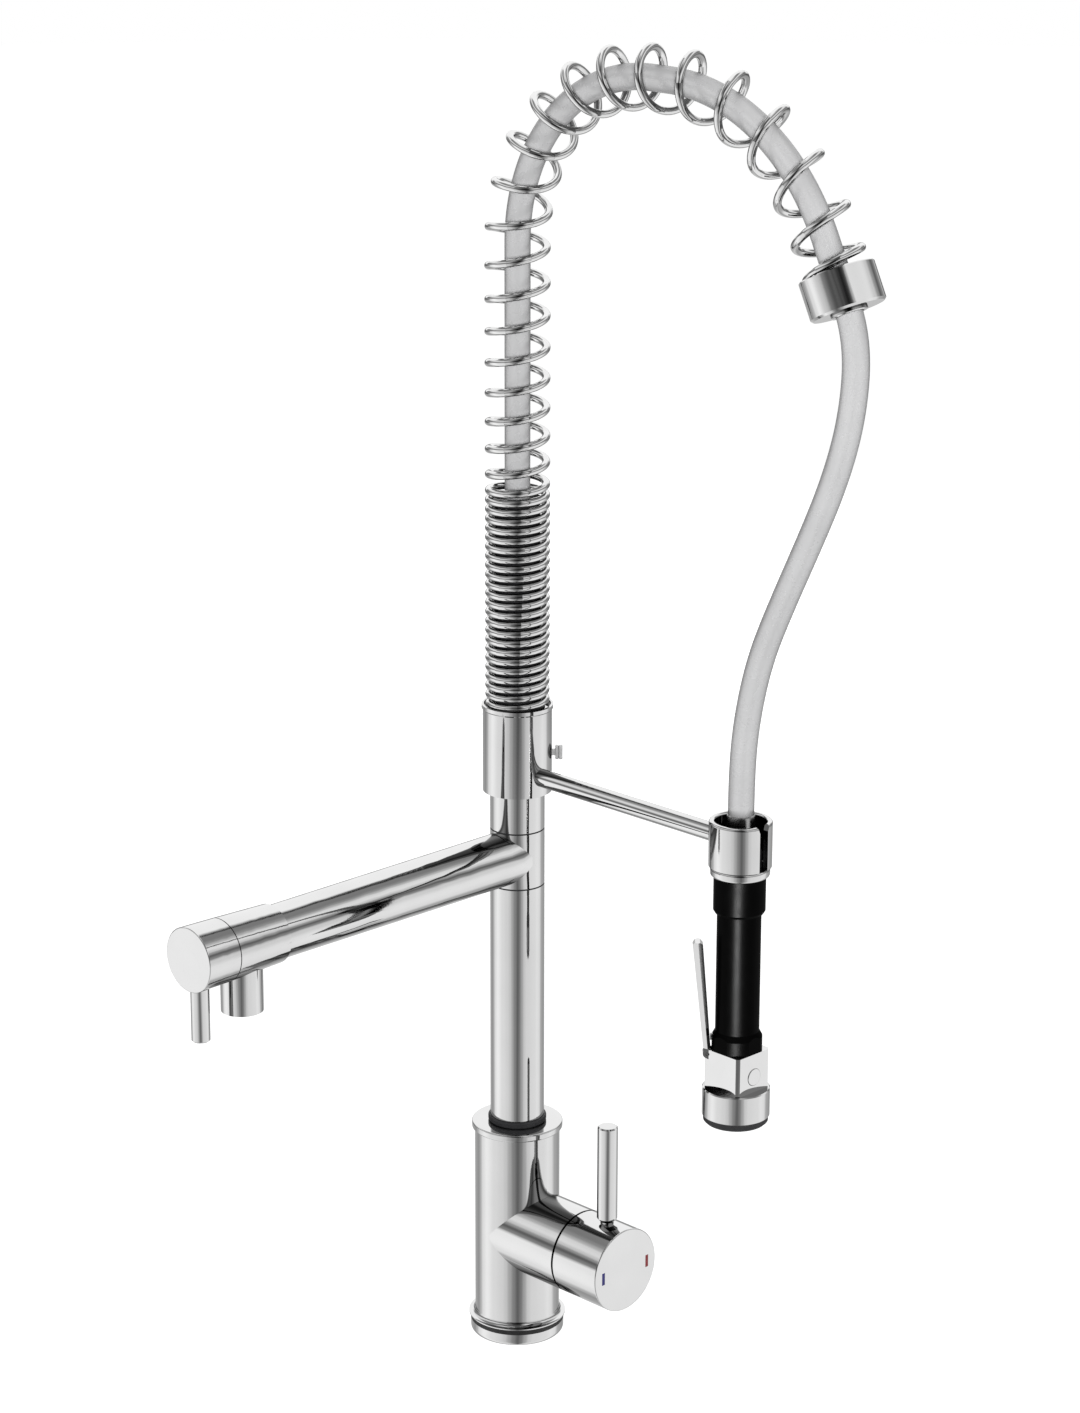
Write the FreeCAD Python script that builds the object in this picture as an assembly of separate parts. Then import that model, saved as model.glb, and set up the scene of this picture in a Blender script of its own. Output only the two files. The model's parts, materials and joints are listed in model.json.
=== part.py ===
import FreeCAD, Part
import math
import os

from FreeCAD import Vector

# A deck-mounted kitchen mixer with a sprung overhead hose, a pull-down hand spray
# and a separate pot-filler spout.  Millimetres.
# Origin: centre of the foot ring's underside.  +Z is up, the handle, the spray arm
# and the arch point along +X, and the pot-filler spout points along -Y.

os.makedirs("parts", exist_ok=True)

# Clearances
fixed_gap = 0.05  # radial gap between pieces that are screwed or pressed together
turning_gap = 0.06  # radial gap of a shaft that turns or slides in its bore
face_gap = 0.1  # gap between two flat faces that turn over each other
seat_gap = 0.3  # gap between a loose piece and what it rests against

# Foot and mixer body
body_r = 25.2
body_wall = 2.0
body_top = 131.5
foot_step = 2.7  # how far the foot ring stands out past the body
foot_h = 7.6
foot_round = 3.0
gasket_inset = 0.1
gasket_h = 3.4
foot_lip_step = 3.7
foot_lip_h = 0.7
foot_flare = 3.0
top_disc_step = 1.7
top_disc_h = 4.3
top_disc_round = 0.9
glide_ring_step = 1.3
glide_ring_h = 4.0
glide_ring_round = 1.2

# Brass column and cartridge barrel inside the body
shank_relief = 1.2
shank_wall = 2.0
pocket_h = 20.0
core_flange_h = 16.0
core_relief = 1.7
core_top_flange_z = 112.0
barrel_wall = 2.4
barrel_seat_x = -8.0
barrel_floor_h = 3.0
barrel_flange_h = 4.0
inlet_thread_r = 4.5
inlet_thread_h = 12.0
inlet_spacing = 17.0
inlet_back = 11.5
waterway_r = 3.0
stud_thread_r = 3.4
stud_thread_h = 12.0
stud_offset = 12.0

# Mixer cartridge, on a horizontal axis
mixer_axis_z = 67.6
cartridge_r = 17.5
cartridge_seal_h = 1.2
cartridge_wall = 2.3
cartridge_base_h = 3.0
cartridge_end_x = 26.0
cartridge_flange_step = 1.5
cartridge_flange_x = 20.5
cartridge_flange_h = 2.8
ceramic_gap = 0.6
ceramic_h = 3.0
turning_ceramic_inset = 2.2
port_inset = 4.9  # from the ceramic disc's rim to the middle of a port
port_angle = 34.5  # of the hot and cold ports, below the horizontal
nut_end_x = 36.0
nut_mouth_r = 12.5
boss_end_x = 53.9

# Lever, handle hub and stick
pivot_x = 20.0
pivot_pin_r = 2.0
spindle_side = 8.0
spindle_tail = 6.0
slot_rise = 7.6
slot_room = 1.5
spindle_end_x = 80.0
hub_wall = 3.0
hub_mouth_x = 55.4
hub_mouth_wall = 1.6
hub_mouth_depth = 2.0
hub_face_x = 90.1
hub_face_wall = 4.0
hub_edge = 0.7
hub_boss_r = 8.0
hub_boss_x = 64.0
stick_x = 75.0
stick_r = 6.0
stick_neck_r = 3.9
stick_neck_h = 3.6
stick_top_z = 153.8
stick_stud_r = 3.0
spindle_dent = 0.8
mark_offset = 18.1
mark_w = 2.2
mark_h = 7.5
mark_depth = 0.6

# Riser
riser_r = 15.9
riser_wall = 2.9
riser_spigot_h = 13.0
riser_shoulder_step = 2.05
riser_shoulder_h = 9.6
riser_neck_reach = 18.0
shaft_wall = 3.95
o_ring_h = 1.8
o_ring_depth = 1.5
hub_ring_spread = 10.0

# Pot-filler spout and its hub
spout_axis_z = 302.1
hub_sleeve_h = 34.0
seam_ring_h = 0.8
seam_ring_step = 0.35
core_reach = 22.0
spout_root_step = 0.05
spout_tip_r = 15.3
spout_arm_reach = 188.7
spout_bore_r = 12.3
spigot_len = 7.3
housing_r = 17.9
housing_taper = 1.1
housing_end = 225.0
knob_flare = 0.5
knob_seam = 0.6
knob_end = 247.8
knob_wall = 2.8
knob_face_wall = 4.0
knob_edge = 0.6
outlet_reach = 210.6
outlet_r = 11.85
outlet_bottom_z = 263.6
outlet_wall = 2.0
headwork_r = 11.9
headwork_seat = 203.0
headwork_flange_r = 14.4
headwork_flange_h = 4.0
headwork_neck_r = 8.0
headwork_neck_len = 4.0
headwork_disc_r = 9.2
headwork_disc_h = 2.5
headwork_spindle_r = 4.0
knob_boss_r = 7.5
knob_boss_len = 11.0
knob_stick_reach = 240.3
knob_stick_r = 5.2
knob_stick_bottom_z = 253.6
knob_stud_r = 2.5
aerator_h = 10.8
aerator_recess = 0.6
aerator_rim = 1.5
aerator_hole_r = 0.8
aerator_edge = 0.7
aerator_counts = (1, 6, 12, 18)  # holes in each ring, from the middle out
aerator_washer_h = 2.0

# Collar, spray arm and holder ring
spring_room = 0.8
collar_bottom_z = 342.0
collar_top_z = 394.0
collar_lip_step = 0.7
collar_lip_h = 2.4
collar_lip_wall = 1.4
screw_z = 364.4
screw_direction = 45.0
screw_neck_r = 2.0
screw_head_r = 4.3
screw_head_h = 4.3
screw_standoff = 1.8
arm_z = 353.3
arm_r = 5.2
spray_x = 174.5
holder_r = 17.55
holder_wall = 3.25
holder_bottom_z = 339.5
holder_top_z = 365.7
holder_slot_w = 6.5
holder_slot_flare = 1.6
holder_round = 1.5

# Arch: the line that the hose and the spring follow
arch_spring_z = 661.2
arch_rise_r = 100.7
arch_flat = 13.6
arch_fall_r = 123.3
arch_fall_turn = 64.0
arch_tail = 31.2

# Support spring
wire_r = 2.25
spring_r = 18.5
dense_turns = 23
dense_pitch = 5.46
# the open stretch, as (turns from the dense stretch, pitch there)
open_pitches = [
    (0.0, 5.5), (1.2, 14.6), (4.5, 17.4), (7.5, 18.8), (10.5, 26.0),
    (14.5, 26.5), (16.0, 30.0), (19.5, 27.8), (21.6, 13.0),
]
spring_end_gap = 1.0
spring_phase = 45.0

# Hose and its fittings
hose_r = 7.25
fitting_flange_step = 2.0
fitting_flange_h = 4.0
fitting_thread_len = 20.0
guide_room = 1.2  # between the guide sleeve and the spring's close turns
guide_drop = 5.0  # from the guide sleeve's top to the middle of the last close turn
cap_room = 0.6
cap_wall = 1.3
cap_len = 21.5
cap_floor = 12.7
cap_grip = 4.0  # how far the arch hose reaches into the cap's floor
cap_mouth_room = 0.5  # room round the free hose where it leaves the cap
cap_ring_wall = 2.3
cap_ring_h = 1.6

# Free stretch of the hose, as points (x, z) in the plane of the arch.  It starts inside
# the cap along the arch line, and comes down square onto the ferrule.
hose_lead = 9.3
hose_tail = 25.0
hose_points = [
    (246.3, 645.7),
    (248.1, 634.8),
    (248.3, 622.1),
    (246.6, 606.0),
    (242.9, 588.4),
    (236.1, 567.6),
    (225.3, 542.1),
    (194.5, 479.0),
    (184.3, 452.6),
    (177.3, 422.1),
]
hose_end_z = 369.0
arc_share = 0.45  # share of the shorter run that an arc may take at each end

# Hand spray
ferrule_wall = 0.5
ferrule_len = 17.0
hose_nut_room = 2.3
hose_nut_h = 12.6
hose_nut_top_step = 1.45
head_collar_inset = 0.95
head_collar_h = 5.4
head_collar_round = 1.6
grip_top_r = 14.5
grip_top_h = 21.5
grip_r = 12.3
grip_step = 1.6
bulge_r = 14.1
bulge_top_z = 243.0
bulge_rise = 3.4
head_top_z = 231.5
head_half_side = 13.3
head_corner_r = 17.6
head_step_z = 209.0
head_r = 19.0
head_bottom_z = 192.3
head_edge = 0.6
head_tube_r = 9.2
head_tube_bore_r = 6.0
head_tube_seat_z = 216.0
head_chamber_r = 13.5
face_inset = 0.8
face_h = 4.0
face_edge = 1.2
face_recess = 1.4
nozzle_r = 0.7
nozzle_counts = (1, 6, 12, 18, 24)  # nozzles in each ring, from the middle out
plug_r = 5.0
plug_z = 218.0
plug_depth = 2.5
plug_proud = 0.4

# Trigger, on the corner of the head that points at trigger_direction degrees
trigger_direction = 225.0
trigger_pivot_r = 16.4
trigger_pivot_z = 229.0
trigger_pin_r = 1.1
trigger_pin_len = 11.0
trigger_foot_w = 5.4
trigger_foot_r = 2.6
trigger_w = 9.0
trigger_t = 4.0  # thickness at the pivot
trigger_top_t = 5.8
trigger_top_bevel = 1.5
trigger_ridge = 0.3  # how far inside the middle of its thickness the blade is widest
trigger_outer_slope = 0.7
trigger_inner_slope = 0.8
trigger_flank_over = 0.5
trigger_top_r = 22.7
trigger_top_z = 295.0
trigger_notch_gap = 0.4
plunger_z = 238.5
plunger_r = 2.0
plunger_in_r = 7.0

# Worked out from the sizes above
foot_r = body_r + foot_step
gasket_r = foot_r - gasket_inset
foot_lip_r = body_r + foot_lip_step
top_disc_r = body_r + top_disc_step
shank_r = body_r - body_wall - shank_relief
pocket_r = shank_r - shank_wall
core_column_r = body_r - body_wall - core_relief
gasket_z = foot_h
body_z = foot_h + gasket_h
disc_z = body_top + top_disc_h
riser_z = disc_z + glide_ring_h + face_gap
riser_in_r = riser_r - riser_wall
spigot_r = riser_in_r - fixed_gap
riser_bore_r = spigot_r - shaft_wall
riser_shoulder_r = spigot_r + riser_shoulder_step
glide_ring_r = riser_r + glide_ring_step
fitting_flange_r = riser_r - fitting_flange_step
spout_root_r = riser_r - spout_root_step
housing_root_r = housing_r - housing_taper
knob_r = housing_r + knob_flare
shaft_bore_r = spigot_r + turning_gap
core_flange_r = body_r - body_wall - fixed_gap
cartridge_flange_r = cartridge_r + cartridge_flange_step
ceramic_r = cartridge_r - cartridge_wall - ceramic_gap
turning_ceramic_r = ceramic_r - turning_ceramic_inset
outlet_port_rise = ceramic_r - port_inset
port_offset_y = outlet_port_rise * math.cos(math.radians(port_angle))
port_drop = outlet_port_rise * math.sin(math.radians(port_angle))
mixer_bore_r = cartridge_r + fixed_gap
nut_bore_r = cartridge_flange_r + fixed_gap
barrel_r = mixer_bore_r + barrel_wall
cartridge_seat_x = barrel_seat_x + barrel_floor_h
hub_low_z = spout_axis_z - hub_sleeve_h / 2
hub_high_z = spout_axis_z + hub_sleeve_h / 2
holder_in_r = holder_r - holder_wall
head_collar_r = holder_r - head_collar_inset
hose_nut_r = holder_in_r - hose_nut_room
ferrule_r = hose_r + ferrule_wall
hose_nut_top_r = ferrule_r + hose_nut_top_step
face_r = head_r - face_inset
cap_r = spring_r + cap_room + cap_wall
cap_mouth_r = hose_r + cap_mouth_room
cap_ring_r = cap_mouth_r + cap_ring_wall
collar_lip_r = spring_r + spring_room + collar_lip_wall
collar_r = collar_lip_r - collar_lip_step
head_collar_z = holder_bottom_z - seat_gap - head_collar_h
grip_z = head_collar_z
coil_r = spring_r - wire_r
collar_seat_z = collar_top_z - collar_lip_h
spring_start_z = collar_seat_z + seat_gap + wire_r
guide_r = coil_r - wire_r - guide_room
guide_top_z = spring_start_z + dense_pitch * dense_turns - guide_drop
hose_start_z = collar_seat_z


def direction(degrees):
    return Vector(math.cos(math.radians(degrees)), math.sin(math.radians(degrees)), 0)


UP = Vector(0, 0, 1)
ALONG_X = Vector(1, 0, 0)
SPOUT_OUT = Vector(0, -1, 0)
MIXER = Vector(0, 0, mixer_axis_z)
SPOUT = Vector(0, 0, spout_axis_z)
SPRAY = Vector(spray_x, 0, 0)


def save(name, shape):
    """Write one sub-part to its own file."""
    shape = shape.removeSplitter() if shape.ShapeType != "Compound" else shape
    if not shape.isValid():
        print("not valid:", name)
    shape.exportStep("parts/" + name + ".step")
    print("%-24s solids %d  volume %.1f" % (name, len(shape.Solids), shape.Volume))


def cylinder(radius, start, end, origin=Vector(0, 0, 0), axis=UP):
    """A cylinder about an axis, from one distance along it to another."""
    return Part.makeCylinder(radius, end - start, origin + axis * start, axis)


def tube(outer, inner, start, end, origin=Vector(0, 0, 0), axis=UP):
    return cylinder(outer, start, end, origin, axis).cut(
        cylinder(inner, start - 1, end + 1, origin, axis)
    )


def turned(profile, origin=Vector(0, 0, 0), axis=UP):
    """A solid of revolution.  The profile is a closed list of (radius, distance) points."""
    points = [Vector(r, 0, h) for r, h in profile]
    wire = Part.makePolygon(points + [points[0]])
    solid = Part.Face(wire).revolve(Vector(0, 0, 0), UP, 360)
    turn = FreeCAD.Rotation(UP, axis)
    solid.Placement = FreeCAD.Placement(origin, turn)
    return solid


def box(low, high):
    return Part.makeBox(high[0] - low[0], high[1] - low[1], high[2] - low[2], Vector(*low))


def rounded(shape, radius, wanted):
    """Round the circular edges whose centre and radius the test accepts."""
    edges = []
    for edge in shape.Edges:
        if isinstance(edge.Curve, Part.Circle) and wanted(edge.Curve.Center, edge.Curve.Radius):
            edges.append(edge)
    return shape.makeFillet(radius, edges)


def near(a, b):
    return abs(a - b) < 0.01


def turned_about_spray(shape, degrees):
    """A shape drawn along +X from the spray's axis, turned to face a direction."""
    result = shape.copy()
    result.rotate(SPRAY, UP, degrees)
    return result


# ---------------------------------------------------------------- body


def make_foot():
    ring = tube(foot_r, shank_r + fixed_gap, 0, foot_h)
    ring = rounded(ring, foot_round, lambda c, r: near(c.z, 0) and near(r, foot_r))
    save("base_ring", ring)
    save("base_gasket", tube(gasket_r, shank_r + fixed_gap, gasket_z, gasket_z + gasket_h))


def foot_lip():
    """The flare that spreads the body out over the foot ring."""
    inner = body_r - body_wall
    lip_z = body_z + foot_lip_h
    flare_top = Vector(body_r, 0, lip_z + foot_flare)
    flare_end = Vector(body_r + foot_flare, 0, lip_z)
    centre = flare_top + ALONG_X * foot_flare
    middle = centre - (ALONG_X + UP).normalize() * foot_flare
    edges = [
        Part.LineSegment(Vector(inner, 0, lip_z + foot_flare), flare_top).toShape(),
        Part.Arc(flare_top, middle, flare_end).toShape(),
    ]
    corners = [
        flare_end, Vector(foot_lip_r, 0, lip_z), Vector(foot_lip_r, 0, body_z),
        Vector(inner, 0, body_z), Vector(inner, 0, lip_z + foot_flare),
    ]
    for a, b in zip(corners, corners[1:]):
        edges.append(Part.LineSegment(a, b).toShape())
    return Part.Face(Part.Wire(edges)).revolve(Vector(0, 0, 0), UP, 360)


def make_body_shell():
    shell = tube(body_r, body_r - body_wall, body_z, body_top)
    shell = shell.fuse(foot_lip())
    side_bore = cylinder(body_r - body_wall, 0, body_r + 1, MIXER, ALONG_X)
    save("body_shell", shell.cut(side_bore))
    # the side barrel is joined to the body along a saddle
    barrel = tube(body_r, body_r - body_wall, 0, boss_end_x, MIXER, ALONG_X)
    save("body_barrel", barrel.cut(cylinder(body_r + fixed_gap, body_z, body_top)))


def make_valve_column():
    core = cylinder(shank_r, seat_gap, body_z + 1)
    core = core.fuse(cylinder(core_flange_r, body_z, pocket_h + core_flange_h))
    core = core.fuse(cylinder(core_column_r, body_z, body_top))
    core = core.fuse(cylinder(core_flange_r, core_top_flange_z, body_top))
    # hollow underside, where the supply hoses and the fixing stud come up
    core = core.cut(cylinder(pocket_r, -1, pocket_h))
    port_z = mixer_axis_z - port_drop
    for side in (-1, 1):
        inlet = Vector(-inlet_back, side * inlet_spacing / 2, 0)
        core = core.cut(cylinder(inlet_thread_r, pocket_h - 1, pocket_h + inlet_thread_h, inlet))
        core = core.cut(cylinder(waterway_r, pocket_h, port_z + waterway_r, inlet))
        port = Vector(0, side * port_offset_y, port_z)
        core = core.cut(cylinder(waterway_r, -inlet_back, barrel_seat_x + 1, port, ALONG_X))
    stud = Vector(stud_offset, 0, 0)
    core = core.cut(cylinder(stud_thread_r, pocket_h - 1, pocket_h + stud_thread_h, stud))
    # thread for the cartridge barrel
    core = core.cut(cylinder(barrel_r + fixed_gap, barrel_seat_x, body_r, MIXER, ALONG_X))
    # mixed water, up to the riser
    outlet_z = mixer_axis_z + outlet_port_rise
    outlet = Vector(-inlet_back, 0, 0)
    core = core.cut(
        cylinder(waterway_r, -inlet_back, barrel_seat_x + 1, UP * outlet_z, ALONG_X)
    )
    chamber_z = spigot_z - 2
    core = core.cut(cylinder(waterway_r, outlet_z, chamber_z + 1, outlet))
    core = core.cut(cylinder(shaft_bore_r, chamber_z, body_top + 1))
    core = core.cut(
        cylinder(riser_shoulder_r + face_gap, shoulder_z - seat_gap, body_top + 1)
    )
    save("valve_column", core)


def make_barrel():
    barrel = cylinder(barrel_r, barrel_seat_x, nut_end_x, MIXER, ALONG_X)
    barrel = barrel.fuse(
        cylinder(core_flange_r, nut_end_x - barrel_flange_h, nut_end_x, MIXER, ALONG_X)
    )
    barrel = barrel.cut(cylinder(mixer_bore_r, cartridge_seat_x, nut_end_x + 1, MIXER, ALONG_X))
    barrel = barrel.cut(
        cylinder(nut_bore_r, cartridge_flange_x, nut_end_x + 1, MIXER, ALONG_X)
    )
    save("cartridge_barrel", barrel.cut(mixer_ports(waterway_r)))


def make_body_top():
    disc = tube(top_disc_r, shaft_bore_r, body_top, disc_z)
    disc = rounded(disc, top_disc_round, lambda c, r: near(r, top_disc_r))
    save("top_disc", disc)
    ring = tube(glide_ring_r, shaft_bore_r, disc_z, disc_z + glide_ring_h)
    ring = rounded(ring, glide_ring_round, lambda c, r: near(r, glide_ring_r))
    save("riser_glide_ring", ring)


# ------------------------------------------------------------ cartridge

disc_x = cartridge_seat_x + cartridge_seal_h + cartridge_base_h
carrier_x = disc_x + 2 * ceramic_h + face_gap


def mixer_ports(radius):
    """The hot, cold and mixed ports, as one shape to cut away."""
    ports = None
    for y, z in (
        (-port_offset_y, -port_drop),
        (port_offset_y, -port_drop),
        (0, outlet_port_rise),
    ):
        port = cylinder(
            radius, barrel_seat_x - 1, disc_x + ceramic_h + 0.01, MIXER + Vector(0, y, z), ALONG_X
        )
        ports = port if ports is None else ports.fuse(port)
    return ports


def make_cartridge():
    seal = cylinder(
        cartridge_r - 1, cartridge_seat_x, cartridge_seat_x + cartridge_seal_h, MIXER, ALONG_X
    )
    ports = mixer_ports(waterway_r)
    save("cartridge_seal", seal.cut(ports))
    inner_r = cartridge_r - cartridge_wall
    start = cartridge_seat_x + cartridge_seal_h
    housing = cylinder(cartridge_r, start, cartridge_end_x, MIXER, ALONG_X)
    housing = housing.fuse(
        cylinder(
            cartridge_flange_r, cartridge_flange_x, cartridge_flange_x + cartridge_flange_h,
            MIXER, ALONG_X,
        )
    )
    housing = housing.cut(cylinder(inner_r, disc_x, cartridge_end_x + 1, MIXER, ALONG_X))
    save("cartridge_housing", housing.cut(ports))
    fixed = cylinder(ceramic_r, disc_x, disc_x + ceramic_h, MIXER, ALONG_X)
    save("ceramic_disc_fixed", fixed.cut(ports))
    turning = cylinder(
        turning_ceramic_r, disc_x + ceramic_h + 0.02, disc_x + 2 * ceramic_h, MIXER, ALONG_X
    )
    bridge = cylinder(
        turning_ceramic_r - 3, disc_x + ceramic_h - 1, disc_x + ceramic_h + 1.5, MIXER, ALONG_X
    )
    save("ceramic_disc_turning", turning.cut(bridge))
    nut_start = cartridge_flange_x + cartridge_flange_h
    nut = cylinder(cartridge_flange_r, nut_start, nut_end_x, MIXER, ALONG_X)
    nut = nut.cut(cylinder(mixer_bore_r, nut_start - 1, cartridge_end_x + face_gap, MIXER, ALONG_X))
    nut = nut.cut(cylinder(nut_mouth_r, nut_start, nut_end_x + 1, MIXER, ALONG_X))
    save("cartridge_nut", nut)


def make_carrier():
    carrier_r = cartridge_r - cartridge_wall - turning_gap
    carrier = cylinder(carrier_r, carrier_x, cartridge_end_x - face_gap, MIXER, ALONG_X)
    half_slot = spindle_side / 2 + turning_gap
    slot = box(
        (pivot_x - spindle_tail - slot_room, -half_slot, mixer_axis_z - slot_rise),
        (cartridge_end_x + 1, half_slot, mixer_axis_z + slot_rise),
    )
    pin_hole = cylinder(
        pivot_pin_r + fixed_gap, -carrier_r - 1, carrier_r + 1,
        Vector(pivot_x, 0, mixer_axis_z), Vector(0, 1, 0),
    )
    save("cartridge_carrier", carrier.cut(slot).cut(pin_hole))
    half_pin = carrier_r - 2
    pin = cylinder(
        pivot_pin_r, -half_pin, half_pin, Vector(pivot_x, 0, mixer_axis_z), Vector(0, 1, 0)
    )
    save("lever_pivot_pin", pin)


# --------------------------------------------------------------- handle


def make_spindle():
    half = spindle_side / 2
    bar = box(
        (pivot_x - spindle_tail, -half, mixer_axis_z - half),
        (spindle_end_x, half, mixer_axis_z + half),
    )
    pin_hole = cylinder(
        pivot_pin_r + turning_gap, -half - 1, half + 1,
        Vector(pivot_x, 0, mixer_axis_z), Vector(0, 1, 0),
    )
    dent = cylinder(
        stick_stud_r + fixed_gap, half - spindle_dent, half + 1, Vector(stick_x, 0, mixer_axis_z)
    )
    save("lever_spindle", bar.cut(pin_hole).cut(dent))


def make_hub():
    hub = cylinder(body_r, hub_mouth_x, hub_face_x, MIXER, ALONG_X)
    face_edge = [
        e for e in hub.Edges
        if isinstance(e.Curve, Part.Circle) and near(e.Curve.Center.x, hub_face_x)
    ]
    hub = hub.makeFillet(hub_edge, face_edge)
    cavity_end = hub_face_x - hub_face_wall
    hub = hub.cut(cylinder(body_r - hub_wall, hub_mouth_x - 1, cavity_end, MIXER, ALONG_X))
    hub = hub.cut(
        cylinder(
            body_r - hub_mouth_wall, hub_mouth_x - 1, hub_mouth_x + hub_mouth_depth,
            MIXER, ALONG_X,
        )
    )
    hub = hub.fuse(cylinder(hub_boss_r, hub_boss_x, cavity_end + 1, MIXER, ALONG_X))
    half = spindle_side / 2 + fixed_gap
    hub = hub.cut(
        box(
            (hub_boss_x - 1, -half, mixer_axis_z - half),
            (spindle_end_x + seat_gap, half, mixer_axis_z + half),
        )
    )
    stick_axis = Vector(stick_x, 0, mixer_axis_z)
    hub = hub.cut(cylinder(stick_stud_r + fixed_gap, 0, body_r + 1, stick_axis))
    for side in (-1, 1):
        hub = hub.cut(mark_shape(side, fixed_gap))
    save("handle_hub", hub)


def mark_shape(side, extra):
    """A small inlaid bar on the hub's face, with its depth set into the face."""
    return box(
        (hub_face_x - mark_depth - extra, side * mark_offset - mark_w / 2 - extra,
         mixer_axis_z - mark_h / 2 - extra),
        (hub_face_x + extra, side * mark_offset + mark_w / 2 + extra,
         mixer_axis_z + mark_h / 2 + extra),
    )


def make_stick():
    axis = Vector(stick_x, 0, 0)
    hub_top = mixer_axis_z + body_r
    neck_top = hub_top + stick_neck_h
    stick = turned(
        [
            (0, hub_top - 0.6), (stick_neck_r, hub_top - 0.6), (stick_neck_r, hub_top + 1.2),
            (stick_r, neck_top), (stick_r, stick_top_z - 0.8), (stick_r - 0.8, stick_top_z),
            (0, stick_top_z),
        ],
        axis,
    )
    stick = stick.cut(cylinder(body_r, hub_mouth_x, hub_face_x, MIXER, ALONG_X))
    stud_bottom = mixer_axis_z + spindle_side / 2 - spindle_dent + fixed_gap
    stick = stick.fuse(cylinder(stick_stud_r, stud_bottom, hub_top + 1, axis))
    save("handle_stick", stick)


def make_marks():
    save("cold_mark", mark_shape(-1, 0))
    save("hot_mark", mark_shape(1, 0))


# ---------------------------------------------------------------- riser


def save_o_ring(name, z):
    """A square-cut sealing ring about the column."""
    outer = spigot_r + turning_gap / 3
    ring = tube(outer, spigot_r - o_ring_depth, z - o_ring_h / 2, z + o_ring_h / 2)
    save(name, ring)


def cut_grooves(shape, heights, depth_r):
    for z in heights:
        shape = shape.cut(
            tube(spigot_r + 1, depth_r, z - o_ring_h / 2 - fixed_gap, z + o_ring_h / 2 + fixed_gap)
        )
    return shape


shoulder_z = body_top - riser_shoulder_h - seat_gap
spigot_z = shoulder_z - riser_spigot_h
shank_ring_z = spigot_z + riser_spigot_h / 2
hub_ring_z = (spout_axis_z - hub_ring_spread, spout_axis_z + hub_ring_spread)


def make_riser():
    shank = turned(
        [
            (riser_bore_r, spigot_z), (spigot_r, spigot_z), (spigot_r, shoulder_z),
            (riser_shoulder_r, shoulder_z), (riser_shoulder_r, shoulder_z + riser_shoulder_h),
            (spigot_r, shoulder_z + riser_shoulder_h), (spigot_r, riser_z + riser_neck_reach),
            (riser_bore_r, riser_z + riser_neck_reach),
        ]
    )
    groove_r = spigot_r - o_ring_depth
    save("riser_shank", cut_grooves(shank, [shank_ring_z], groove_r))
    save_o_ring("shank_o_ring", shank_ring_z)
    lower = tube(riser_r, riser_in_r, riser_z, hub_low_z - seam_ring_h / 2)
    save("riser_lower", lower)
    core = tube(spigot_r, riser_bore_r, hub_low_z - core_reach, hub_high_z + core_reach)
    for turn in (0, 90, 180, 270):
        core = core.cut(cylinder(4.0, 0, spigot_r + 1, SPOUT, direction(turn)))
    save("riser_core", cut_grooves(core, hub_ring_z, groove_r))
    save_o_ring("hub_o_ring_lower", hub_ring_z[0])
    save_o_ring("hub_o_ring_upper", hub_ring_z[1])
    seam_r = riser_r - seam_ring_step
    for name, z in (("seam_ring_lower", hub_low_z), ("seam_ring_upper", hub_high_z)):
        save(name, tube(seam_r, riser_in_r, z - seam_ring_h / 2, z + seam_ring_h / 2))
    upper_top = collar_seat_z - fitting_flange_h - 1
    save("riser_upper", tube(riser_r, riser_in_r, hub_high_z + seam_ring_h / 2, upper_top))


def make_collar():
    bore = riser_r + fixed_gap
    lip_in = collar_lip_r - collar_lip_wall
    collar = turned(
        [
            (bore, collar_bottom_z), (collar_r, collar_bottom_z), (collar_r, collar_seat_z - 0.6),
            (collar_lip_r, collar_seat_z + 0.2), (collar_lip_r, collar_top_z),
            (lip_in, collar_top_z), (lip_in, collar_seat_z), (bore, collar_seat_z),
        ]
    )
    collar = collar.cut(cylinder(arm_r + fixed_gap, 0, collar_r + 1, UP * arm_z, ALONG_X))
    screw_axis = direction(screw_direction)
    collar = collar.cut(
        cylinder(screw_neck_r + fixed_gap, 0, collar_r + 1, UP * screw_z, screw_axis)
    )
    save("collar", collar)
    head_start = collar_r + screw_standoff
    screw = cylinder(screw_neck_r, bore, head_start + 0.5, UP * screw_z, screw_axis)
    head = turned(
        [
            (0, head_start), (screw_head_r - 0.5, head_start), (screw_head_r, head_start + 0.5),
            (screw_head_r, head_start + 1.6), (screw_head_r - 0.7, head_start + 2.0),
            (screw_head_r, head_start + 2.4), (screw_head_r, head_start + screw_head_h - 0.5),
            (screw_head_r - 0.5, head_start + screw_head_h), (0, head_start + screw_head_h),
        ],
        UP * screw_z, screw_axis,
    )
    save("collar_screw", screw.fuse(head))


def make_spray_arm():
    rod = cylinder(arm_r, riser_r + fixed_gap, spray_x, UP * arm_z, ALONG_X)
    rod = rod.cut(cylinder(riser_r + fixed_gap, arm_z - 20, arm_z + 20))
    rod = rod.cut(cylinder(holder_r, arm_z - 20, arm_z + 20, SPRAY))
    save("spray_arm", rod)


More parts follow.
